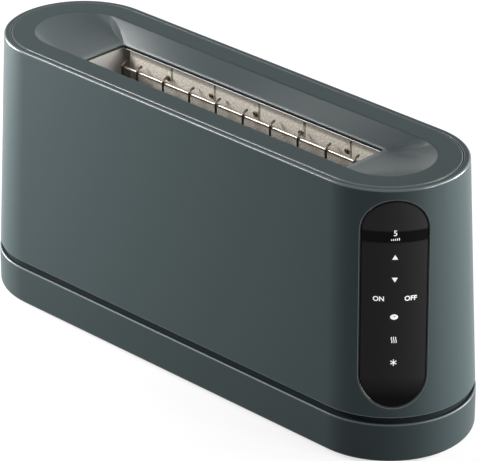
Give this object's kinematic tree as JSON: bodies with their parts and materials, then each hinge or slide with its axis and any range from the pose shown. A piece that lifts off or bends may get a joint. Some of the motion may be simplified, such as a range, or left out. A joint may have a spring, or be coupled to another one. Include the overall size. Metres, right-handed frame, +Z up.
{
  "type": "long slot toaster",
  "caption": "Long slot toaster with round ends: drafted painted body, sunk bread slot, tall touch glass on one end, motor lift, closing bread guards and a rear crumb tray.",
  "frame": {"origin": "middle of the footprint, on the floor under the feet", "axes": "+X along the slot toward the touch glass end, +Y to the rear (crumb tray), +Z up"},
  "size_m": [0.4024, 0.1148, 0.1905],
  "materials": {
    "body_paint": "satin slate paint",
    "base_paint": "satin slate paint on plastic",
    "black_plastic": "moulded black",
    "rubber": "matt black",
    "sheet_steel": "bare sheet steel",
    "reflector": "bright aluminised steel",
    "mica": "speckled mica board",
    "ribbon": "oxidised resistance ribbon",
    "wire": "bright drawn wire",
    "nylon": "natural nylon",
    "brass": "plain brass",
    "screw": "zinc plated",
    "black_glass": "gloss black back-painted glass",
    "bezel": "satin edge",
    "board": "green solder mask",
    "component": "moulded case"
  },
  "bodies": {
    "housing": {"body_shell": "body_paint", "top_cover": "body_paint", "base_ring": "base_paint", "base_plate": "black_plastic", "rubber_feet": "rubber", "left_end_plate": "sheet_steel", "right_end_plate": "sheet_steel", "front_reflector": "reflector", "rear_reflector": "reflector", "front_heater_card": "mica", "rear_heater_card": "mica", "front_heater_ribbon": "ribbon", "rear_heater_ribbon": "ribbon", "front_card_clips": "sheet_steel", "rear_card_clips": "sheet_steel", "left_guide_rod": "wire", "right_guide_rod": "wire", "lift_motor": "wire", "motor_bracket": "sheet_steel", "gear_axle": "wire", "axle_clip": "wire", "upper_limit_switch": "black_plastic", "lower_limit_switch": "black_plastic", "touch_glass": "black_glass", "panel_bezel": "bezel", "panel_carrier": "black_plastic", "touch_board": "board", "level_display": "black_plastic", "board_holder": "black_plastic", "power_board": "board", "power_relay": "component", "power_transformer": "component", "filter_capacitor": "component", "terminal_block": "nylon", "cord_gland": "rubber", "thermal_fuse": "nylon", "frame_screws": "screw", "base_screws": "screw", "motor_screws": "screw", "cover_screws": "screw"},
    "carriage": {"bread_shelf": "sheet_steel", "left_carriage": "nylon", "right_carriage": "nylon", "lift_rack": "nylon", "guard_cam": "sheet_steel", "left_slide_bush": "brass", "right_slide_bush": "brass", "shelf_screws": "screw"},
    "front_guard": {"front_bread_guard": "wire"},
    "rear_guard": {"rear_bread_guard": "wire"},
    "gear": {"lift_gear": "nylon"},
    "motor_drive": {"motor_pinion": "brass", "motor_shaft": "wire"},
    "tray": {"crumb_tray": "sheet_steel", "tray_front": "base_paint"}
  },
  "joints": [
    {"name": "shelf_lift", "type": "slide", "parent": "housing", "child": "carriage", "axis": [0, 0, -1], "range_m": [0, 0.072]},
    {"name": "front_guard_tilt", "type": "hinge", "parent": "housing", "child": "front_guard", "pos_m": [0, -0.0148, 0.042], "axis": [-1, 0, 0], "range_deg": [0, 2.71]},
    {"name": "rear_guard_tilt", "type": "hinge", "parent": "housing", "child": "rear_guard", "pos_m": [0, 0.0148, 0.042], "axis": [1, 0, 0], "range_deg": [0, 2.71]},
    {"name": "gear_turn", "type": "hinge", "parent": "housing", "child": "gear", "pos_m": [-0.1351, 0.02005, 0.0918], "axis": [1, 0, 0], "range_deg": [0, 590]},
    {"name": "motor_turn", "type": "hinge", "parent": "housing", "child": "motor_drive", "pos_m": [-0.1441, 0.02005, 0.0638], "axis": [1, 0, 0], "range_deg": [-1769, 0]},
    {"name": "tray_slide", "type": "slide", "parent": "housing", "child": "tray", "axis": [0, 1, 0], "range_m": [0, 0.095]}
  ],
  "couplings": [
    {"joint": "front_guard_tilt", "follows": "shelf_lift", "rad_per_m": 0.6545},
    {"joint": "rear_guard_tilt", "follows": "shelf_lift", "rad_per_m": 0.6545},
    {"joint": "gear_turn", "follows": "shelf_lift", "rad_per_m": 142.86},
    {"joint": "motor_turn", "follows": "shelf_lift", "rad_per_m": -428.57}
  ]
}
